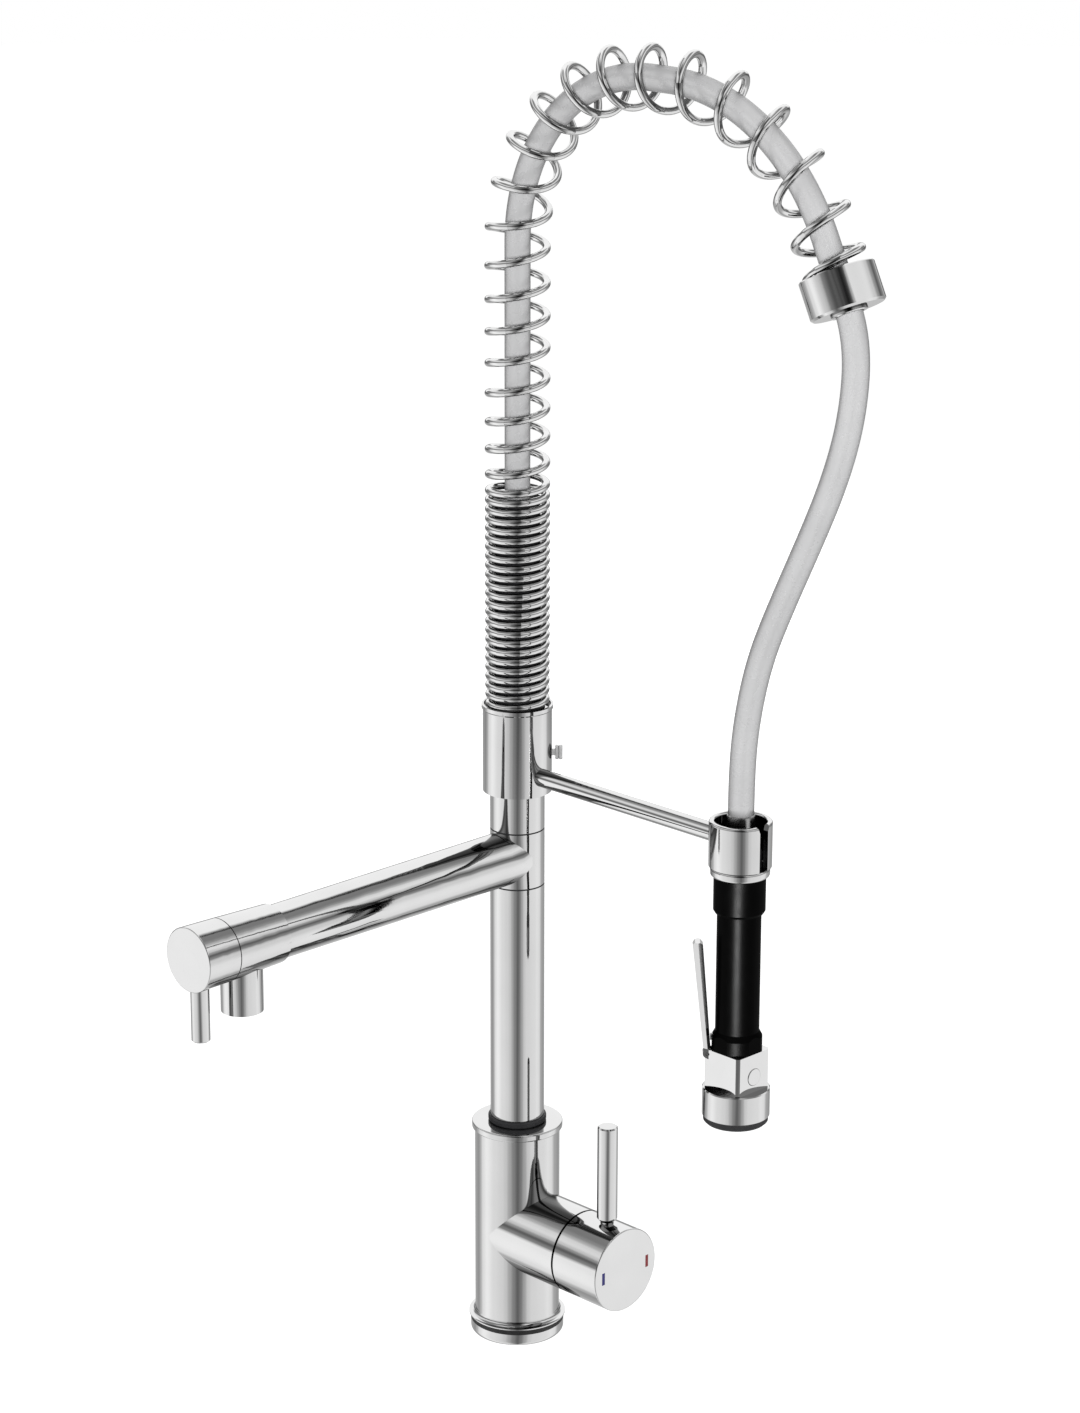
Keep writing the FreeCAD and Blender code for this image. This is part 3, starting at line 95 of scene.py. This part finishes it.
class Nodes:
    """A material's node tree, with short ways to add and join nodes."""

    def __init__(self, tree):
        self.tree = tree
        tree.nodes.clear()

    def add(self, kind, **values):
        node = self.tree.nodes.new(kind)
        for key, value in values.items():
            setattr(node, key, value)
        return node

    def join(self, out, into):
        self.tree.links.new(out, into)

    def noise(self, vector, scale, detail=2.0, roughness=0.5):
        node = self.add("ShaderNodeTexNoise")
        node.inputs["Scale"].default_value = scale
        node.inputs["Detail"].default_value = detail
        node.inputs["Roughness"].default_value = roughness
        self.join(vector, node.inputs["Vector"])
        return node.outputs["Fac"]

    def span(self, value, low, high, from_low=0.3, from_high=0.7):
        node = self.add("ShaderNodeMapRange")
        node.inputs["From Min"].default_value = from_low
        node.inputs["From Max"].default_value = from_high
        node.inputs["To Min"].default_value = low
        node.inputs["To Max"].default_value = high
        self.join(value, node.inputs["Value"])
        return node.outputs["Result"]

    def mix(self, factor, a, b):
        node = self.add("ShaderNodeMix", data_type="RGBA")
        self.join(factor, node.inputs[0])
        node.inputs[6].default_value = (*a, 1)
        node.inputs[7].default_value = (*b, 1)
        return node.outputs[2]

    def paint_shade_on_inner_reflections(self, colour):
        """Painted shade: on reflected rays the colour is darkened, more each time round, so that
        polished pieces seen in one another come out darker.
        """
        depth = self.add("ShaderNodeLightPath").outputs["Glossy Depth"]
        keep = self.span(depth, 1.0, DARKEST_PAINTED_INNER_REFLECTION, 0.0, DARKEST_AT_DEPTH)
        node = self.add("ShaderNodeMix", data_type="RGBA", blend_type="MULTIPLY")
        node.inputs[0].default_value = 1.0
        self.join(colour, node.inputs[6])
        self.join(keep, node.inputs[7])
        return node.outputs[2]


def new_material(name):
    material = bpy.data.materials.new(name)
    material.use_nodes = True
    nt = Nodes(material.node_tree)
    out = nt.add("ShaderNodeOutputMaterial")
    shader = nt.add("ShaderNodeBsdfPrincipled")
    nt.join(shader.outputs["BSDF"], out.inputs["Surface"])
    place = nt.add("ShaderNodeTexCoord").outputs["Object"]
    return material, nt, shader, place


def surface(
    name, low, high, metallic, rough, blotch, grain, depth, specular=0.5, distance=0.001
):
    """Colour varies between low and high over blotches, roughness over wear marks. On metal the
    colour also gets painted shade, darker on reflected rays.

    Blotch and grain are noise scales per metre. The grain gives a bump whose strength is
    depth and whose height is distance, in metres.
    """
    material, nt, shader, place = new_material(name)
    patch = nt.noise(place, blotch, 3.0)
    colour = nt.mix(nt.span(patch, 0, 1), low, high)
    # painted shade: metal's colour is darkened on reflected rays
    if metallic:
        colour = nt.paint_shade_on_inner_reflections(colour)
    nt.join(colour, shader.inputs["Base Color"])
    shader.inputs["Metallic"].default_value = metallic
    shader.inputs["Specular IOR Level"].default_value = specular
    wear = nt.noise(place, blotch * WEAR_FINENESS, 4.0, 0.6)
    nt.join(nt.span(wear, rough[0], rough[1]), shader.inputs["Roughness"])
    bump = nt.add("ShaderNodeBump")
    bump.inputs["Strength"].default_value = depth
    bump.inputs["Distance"].default_value = distance
    nt.join(nt.noise(place, grain, 3.0), bump.inputs["Height"])
    nt.join(bump.outputs["Normal"], shader.inputs["Normal"])
    return material


CHROME = surface(
    "chrome", (0.80, 0.80, 0.80), (0.84, 0.84, 0.84), 1.0, (0.025, 0.07), 30, 900, 0.02,
    distance=0.0002,
)
WIRE = surface(
    "wire_chrome", (0.84, 0.84, 0.84), (0.90, 0.90, 0.90), 1.0, (0.03, 0.07), 60, 1500, 0.03,
    distance=0.0002,
)
BRASS = surface(
    "brass", (0.55, 0.38, 0.14), (0.66, 0.48, 0.20), 1.0, (0.22, 0.38), 90, 2500, 0.15
)
STEEL = surface("steel", (0.45, 0.45, 0.45), (0.55, 0.55, 0.55), 1.0, (0.18, 0.3), 90, 2500, 0.1)
SATIN = surface(
    "satin_chrome", (0.80, 0.80, 0.80), (0.86, 0.86, 0.86), 0.6, (0.45, 0.6), 200, 3000, 0.05
)
RUBBER = surface(
    "black_rubber", (0.010, 0.010, 0.010), (0.020, 0.020, 0.020), 0, (0.35, 0.5), 120, 3500, 0.3
)
DARK = surface(
    "dark_plastic", (0.022, 0.022, 0.024), (0.034, 0.034, 0.036), 0, (0.4, 0.55), 120, 4000, 0.2,
    specular=0.4,
)
GRIP = surface(
    "grip_plastic", (0.0001, 0.0001, 0.0001), (0.0002, 0.0002, 0.0002), 0, (0.32, 0.38), 90, 3200,
    0.12, specular=0.018, distance=0.0003,
)
HOSE = surface(
    "hose_sleeve", (0.585, 0.585, 0.59), (0.615, 0.615, 0.62), 0.12, (0.24, 0.3), 45, 2600, 0.04,
    distance=0.0001,
)
CERAMIC = surface(
    "ceramic", (0.8, 0.8, 0.78), (0.86, 0.86, 0.84), 0, (0.12, 0.2), 90, 3000, 0.05
)
WHITE = surface(
    "white_plastic", (0.72, 0.72, 0.70), (0.8, 0.8, 0.78), 0, (0.35, 0.5), 90, 3000, 0.1
)
BLUE = surface(
    "blue_enamel", (0.012, 0.010, 0.16), (0.018, 0.014, 0.20), 0, (0.2, 0.3), 300, 3000, 0.1
)
RED = surface(
    "red_enamel", (0.24, 0.014, 0.018), (0.30, 0.02, 0.025), 0, (0.2, 0.3), 300, 3000, 0.1
)

SLOT_MATERIALS = {
    "chrome": CHROME,
    "spring_chrome": WIRE,
    "brass": BRASS,
    "black_rubber": RUBBER,
    "dark_plastic": DARK,
    "grip_black": GRIP,
    "hose_grey": HOSE,
    "white_ceramic": CERAMIC,
    "white_plastic": WHITE,
    "blue_enamel": BLUE,
    "red_enamel": RED,
    "steel": STEEL,
}

SHARP_ANGLE = math.radians(32)


def dress_node(name, slot):
    """Give a carried-over node its material, smooth curved faces and keep its real edges."""
    obj = nodes[name]
    obj.data.materials.clear()
    obj.data.materials.append(SLOT_MATERIALS[slot])
    obj.data.polygons.foreach_set("use_smooth", [True] * len(obj.data.polygons))
    obj.data.set_sharp_from_angle(angle=SHARP_ANGLE)
    weighted = obj.modifiers.new("weighted_normals", "WEIGHTED_NORMAL")
    weighted.keep_sharp = True


for part in frame["record"]["subparts"]:
    dress_node(part["node"], part["material_slot"])

# the thumb screw has a satin finish, and the ferrule a brushed one
nodes["collar_screw"].data.materials[0] = SATIN
nodes["hose_ferrule"].data.materials[0] = STEEL

# ------------------------------------------------------------------ hose
HOSE_RADIUS = 0.00725
HOSE_SIDES = 48
NURBS_STEPS = 10

# The free stretch's route from the cap to the ferrule, in metres.
HOSE_ROUTE = [
    (0.2388, 0.0, 0.66461),
    (0.24288, 0.0, 0.65625),
    (0.2463, 0.0, 0.6457),
    (0.2481, 0.0, 0.6348),
    (0.2483, 0.0, 0.6221),
    (0.2466, 0.0, 0.6060),
    (0.2429, 0.0, 0.5884),
    (0.2361, 0.0, 0.5676),
    (0.2253, 0.0, 0.5421),
    (0.1945, 0.0, 0.4790),
    (0.1843, 0.0, 0.4526),
    (0.1773, 0.0, 0.4221),
    (0.1745, 0.0, 0.3940),
    (0.1745, 0.0, 0.3690),
]

# The arch that the hose follows from the collar to the cap, in metres.
ARCH_FOOT_Z = 0.3916
ARCH_SPRING_Z = 0.6612
ARCH_RISE_RADIUS = 0.1007
ARCH_FLAT = 0.0136
ARCH_FALL_RADIUS = 0.1233
ARCH_FALL_TURN = math.radians(64.0)
STRAIGHT_STEPS, RISE_STEPS, FALL_STEPS = 20, 48, 40


def arch_points():
    """Points up the riser's line, round the two arcs of the arch and down into the cap."""
    points = []
    for i in range(STRAIGHT_STEPS):
        z = ARCH_FOOT_Z + (ARCH_SPRING_Z - ARCH_FOOT_Z) * i / STRAIGHT_STEPS
        points.append(Vector((0, 0, z)))
    for i in range(RISE_STEPS + 1):
        a = math.pi / 2 * i / RISE_STEPS
        x = ARCH_RISE_RADIUS * (1 - math.cos(a))
        points.append(Vector((x, 0, ARCH_SPRING_Z + ARCH_RISE_RADIUS * math.sin(a))))
    top = ARCH_SPRING_Z + ARCH_RISE_RADIUS
    for i in range(FALL_STEPS + 1):
        a = ARCH_FALL_TURN * i / FALL_STEPS
        x = ARCH_RISE_RADIUS + ARCH_FLAT + ARCH_FALL_RADIUS * math.sin(a)
        points.append(Vector((x, 0, top - ARCH_FALL_RADIUS * (1 - math.cos(a)))))
    points.append(Vector(HOSE_ROUTE[0]))
    return points


def nurbs_points(name, route):
    """Points along a smooth NURBS line that has the route as its control points."""
    curve = bpy.data.curves.new(name, "CURVE")
    curve.dimensions = "3D"
    spline = curve.splines.new("NURBS")
    spline.points.add(len(route) - 1)
    for point, place in zip(spline.points, route):
        point.co = (*place, 1.0)
    spline.order_u = 3
    spline.use_endpoint_u = True
    spline.resolution_u = NURBS_STEPS
    line = bpy.data.objects.new(name, curve)
    bpy.context.scene.collection.objects.link(line)
    bpy.context.view_layer.update()
    mesh = bpy.data.meshes.new_from_object(line)
    points = [v.co.copy() for v in mesh.vertices]
    bpy.data.objects.remove(line)
    bpy.data.meshes.remove(mesh)
    return points


def hose_mesh(name, points):
    """A closed round hose along points that lie in a plane square to Y."""
    bm = bmesh.new()
    rings = []
    for i, place in enumerate(points):
        ahead = points[min(i + 1, len(points) - 1)]
        behind = points[max(i - 1, 0)]
        heading = (ahead - behind).normalized()
        side = Vector((0, 1, 0))
        other = heading.cross(side)
        ring = []
        for k in range(HOSE_SIDES):
            a = 2 * math.pi * k / HOSE_SIDES
            out = side * math.cos(a) + other * math.sin(a)
            ring.append(bm.verts.new(place + out * HOSE_RADIUS))
        rings.append(ring)
    for low, high in zip(rings, rings[1:]):
        for k in range(HOSE_SIDES):
            following = (k + 1) % HOSE_SIDES
            bm.faces.new((low[k], low[following], high[following], high[k]))
    bm.faces.new(list(reversed(rings[0])))
    bm.faces.new(rings[-1])
    bmesh.ops.recalc_face_normals(bm, faces=bm.faces)
    mesh = bpy.data.meshes.new(name)
    bm.to_mesh(mesh)
    bm.free()
    for polygon in mesh.polygons:
        polygon.use_smooth = len(polygon.vertices) == 4
    obj = bpy.data.objects.new(name, mesh)
    bpy.context.scene.collection.objects.link(obj)
    mesh.materials.append(HOSE)
    return obj


def make_free_hose():
    points = nurbs_points("free_hose_line", HOSE_ROUTE)
    hose = hose_mesh("hose_free_stretch", points)
    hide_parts("free_hose")
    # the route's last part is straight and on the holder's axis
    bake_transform(hose)


def make_arch_hose():
    hose = hose_mesh("hose_arch_stretch", arch_points())
    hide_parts("inner_hose")
    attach(hose, "riser")


make_free_hose()
make_arch_hose()

# ----------------------------------------------------------------- studio
FLOOR_RADIUS = 6.0
FLOOR_SIDES = 96
FLOOR_GREY = 0.32
FLOOR_GLOW = 0.93
PLAIN_LIGHT = 0.26
# turns the mirrored room so that its azimuths count from the viewer's side
ROOM_TURN = math.radians(44.72)
# the sines of the elevations between which each part of the room blends into the next
HORIZON = (-0.05, 0.05)
DEEPEN_SPAN = (-0.32, -0.14)
DEEPEN_POWER = (0.95, 2.2)
GAP_FADE_SPAN = (0.44, 0.64)
GAP_WEAKEST = 0.84


def make_floor():
    bm = bmesh.new()
    bmesh.ops.create_circle(bm, cap_ends=True, segments=FLOOR_SIDES, radius=FLOOR_RADIUS)
    mesh = bpy.data.meshes.new("floor")
    bm.to_mesh(mesh)
    bm.free()
    floor = bpy.data.objects.new("floor", mesh)
    bpy.context.scene.collection.objects.link(floor)
    floor.visible_glossy = False
    material = bpy.data.materials.new("floor")
    material.use_nodes = True
    nt = Nodes(material.node_tree)
    out = nt.add("ShaderNodeOutputMaterial")
    paint = nt.add("ShaderNodeBsdfDiffuse")
    paint.inputs["Color"].default_value = (FLOOR_GREY, FLOOR_GREY, FLOOR_GREY, 1)
    light = nt.add("ShaderNodeEmission")
    nt.join(nt.add("ShaderNodeLightPath").outputs["Is Camera Ray"], light.inputs["Color"])
    light.inputs["Strength"].default_value = FLOOR_GLOW
    both = nt.add("ShaderNodeAddShader")
    nt.join(paint.outputs[0], both.inputs[0])
    nt.join(light.outputs[0], both.inputs[1])
    nt.join(both.outputs[0], out.inputs["Surface"])
    mesh.materials.append(material)


make_floor()


def grey_ramp(nt, value, stops):
    """A smooth run of greys over a value, from stops of (place, grey)."""
    ramp = nt.add("ShaderNodeValToRGB")
    ramp.color_ramp.interpolation = "EASE"
    elements = ramp.color_ramp.elements
    while len(elements) < len(stops):
        elements.new(0.5)
    for element, (place, grey) in zip(elements, stops):
        element.position = place
        element.color = (grey, grey, grey, 1)
    nt.join(value, ramp.inputs["Fac"])
    return ramp.outputs["Color"]


def at(degrees):
    """The ramp place of an azimuth, counted from the viewer's side."""
    return 0.5 + degrees / 360.0


def up(degrees):
    """The ramp place of an elevation."""
    return 0.5 + 0.5 * math.sin(math.radians(degrees))


def room_colour(nt):
    """A white room with a few dark gaps for polished metal to pick up."""
    way = nt.add("ShaderNodeTexCoord").outputs["Generated"]
    turn = nt.add("ShaderNodeMapping")
    turn.inputs["Rotation"].default_value = (0, 0, ROOM_TURN)
    nt.join(way, turn.inputs["Vector"])
    gradient = nt.add("ShaderNodeTexGradient", gradient_type="RADIAL")
    nt.join(turn.outputs[0], gradient.inputs["Vector"])
    azimuth = gradient.outputs["Fac"]
    split = nt.add("ShaderNodeSeparateXYZ")
    nt.join(way, split.inputs[0])
    rise = split.outputs["Z"]

    below = grey_ramp(
        nt, azimuth,
        [
            (0.0, 0.60), (at(-150), 0.38), (at(-130), 0.32), (at(-120), 0.48), (at(-107), 0.86),
            (at(-92), 1.0), (at(-64), 0.82), (at(-42), 0.74), (at(-31), 0.64), (at(-20), 0.42),
            (at(-10), 0.24), (at(2), 0.12), (at(10), 0.20), (at(20), 0.40), (at(30), 0.66),
            (at(41), 0.76), (at(76), 0.82), (at(92), 0.90), (at(106), 0.84), (at(124), 0.42),
            (at(148), 0.32), (1.0, 0.60),
        ],
    )
    # towards the horizon the dark gaps get darker
    deep = nt.add("ShaderNodeMath", operation="POWER")
    nt.join(below, deep.inputs[0])
    nt.join(nt.span(rise, *DEEPEN_POWER, *DEEPEN_SPAN), deep.inputs[1])

    above = grey_ramp(
        nt, nt.span(rise, 0, 1, -1, 1),
        [
            (0.0, 0.48), (up(0), 0.48), (up(5), 0.26), (up(12), 0.13), (up(18), 0.34),
            (up(23), 0.68), (up(29), 0.86), (up(35), 0.80), (up(40), 0.50), (up(44), 0.30),
            (up(48), 0.22), (up(58), 0.24), (up(68), 0.50), (1.0, 0.85),
        ],
    )
    # the gap that the viewer stands in, weaker higher up
    viewer = grey_ramp(
        nt, azimuth,
        [
            (0.0, 1.0), (at(-60), 0.95), (at(-37), 0.70), (at(-19), 0.20), (at(-8), 0.06),
            (at(0), 0.02), (at(7), 0.03), (at(11), 0.10), (at(17), 0.50), (at(24), 1.0), (1.0, 1.0),
        ],
    )
    gap = nt.add("ShaderNodeMix", data_type="RGBA", blend_type="MULTIPLY")
    nt.join(nt.span(rise, 1.0, GAP_WEAKEST, *GAP_FADE_SPAN), gap.inputs[0])
    nt.join(above, gap.inputs[6])
    nt.join(viewer, gap.inputs[7])
    # the side away from the viewer is white
    away = grey_ramp(
        nt, azimuth,
        [(0.0, 1.0), (at(-155), 1.0), (at(-140), 0.0), (at(140), 0.0), (at(155), 1.0), (1.0, 1.0)],
    )
    upper = nt.add("ShaderNodeMix", data_type="RGBA")
    nt.join(away, upper.inputs[0])
    nt.join(gap.outputs[2], upper.inputs[6])
    upper.inputs[7].default_value = (1, 1, 1, 1)

    room = nt.add("ShaderNodeMix", data_type="RGBA")
    nt.join(nt.span(rise, 0, 1, *HORIZON), room.inputs[0])
    nt.join(deep.outputs[0], room.inputs[6])
    nt.join(upper.outputs[2], room.inputs[7])
    return room.outputs[2]


def make_world():
    """Polished metal sees the room, the camera sees white, and a plain light does the rest."""
    world = bpy.data.worlds.new("world")
    bpy.context.scene.world = world
    world.use_nodes = True
    nt = Nodes(world.node_tree)
    out = nt.add("ShaderNodeOutputWorld")
    path = nt.add("ShaderNodeLightPath")
    mirror = nt.add("ShaderNodeBackground")
    nt.join(room_colour(nt), mirror.inputs["Color"])
    plain = nt.add("ShaderNodeBackground")
    plain.inputs["Color"].default_value = (1, 1, 1, 1)
    plain.inputs["Strength"].default_value = PLAIN_LIGHT
    seen = nt.add("ShaderNodeBackground")
    seen.inputs["Color"].default_value = (1, 1, 1, 1)
    first = nt.add("ShaderNodeMixShader")
    nt.join(path.outputs["Is Glossy Ray"], first.inputs[0])
    nt.join(plain.outputs[0], first.inputs[1])
    nt.join(mirror.outputs[0], first.inputs[2])
    second = nt.add("ShaderNodeMixShader")
    either = nt.add("ShaderNodeMath", operation="MAXIMUM")
    nt.join(path.outputs["Is Camera Ray"], either.inputs[0])
    nt.join(path.outputs["Is Transmission Ray"], either.inputs[1])
    nt.join(either.outputs[0], second.inputs[0])
    nt.join(first.outputs[0], second.inputs[1])
    nt.join(seen.outputs[0], second.inputs[2])
    nt.join(second.outputs[0], out.inputs["Surface"])


make_world()


def area_lamp(name, place, target, size, power):
    """A round lamp of size metres that shines from place to target, unseen in reflections."""
    data = bpy.data.lights.new(name, "AREA")
    data.shape = "DISK"
    data.size = size
    data.energy = power
    lamp = bpy.data.objects.new(name, data)
    bpy.context.scene.collection.objects.link(lamp)
    lamp.location = place
    way = Vector(target) - Vector(place)
    lamp.rotation_euler = way.to_track_quat("-Z", "Y").to_euler()
    lamp.visible_glossy = False
    lamp.visible_camera = False
    return lamp


area_lamp("lamp_top", (0.4, -0.4, 2.6), (0.1, 0, 0.3), size=1.6, power=3.0)
area_lamp("lamp_front", (1.49, -1.47, 0.95), (0.1, 0, 0.45), size=0.5, power=37.0)
area_lamp("lamp_back", (-1.35, 1.45, 1.0), (0.1, 0, 0.45), size=0.6, power=28.0)

# a low lamp gives the matt grip its one long highlight
grip_lamp = area_lamp(
    "lamp_grip", (0.561, -0.546, 0.095), (0.1745, 0, 0.28), size=0.26, power=41.0
)
grip_lamp.visible_glossy = True
grip_lamp.light_linking.receiver_collection = bpy.data.collections.new("lit_by_lamp_grip")
grip_lamp.light_linking.receiver_collection.objects.link(nodes["grip"])

scene = bpy.context.scene
scene.view_settings.view_transform = "Standard"
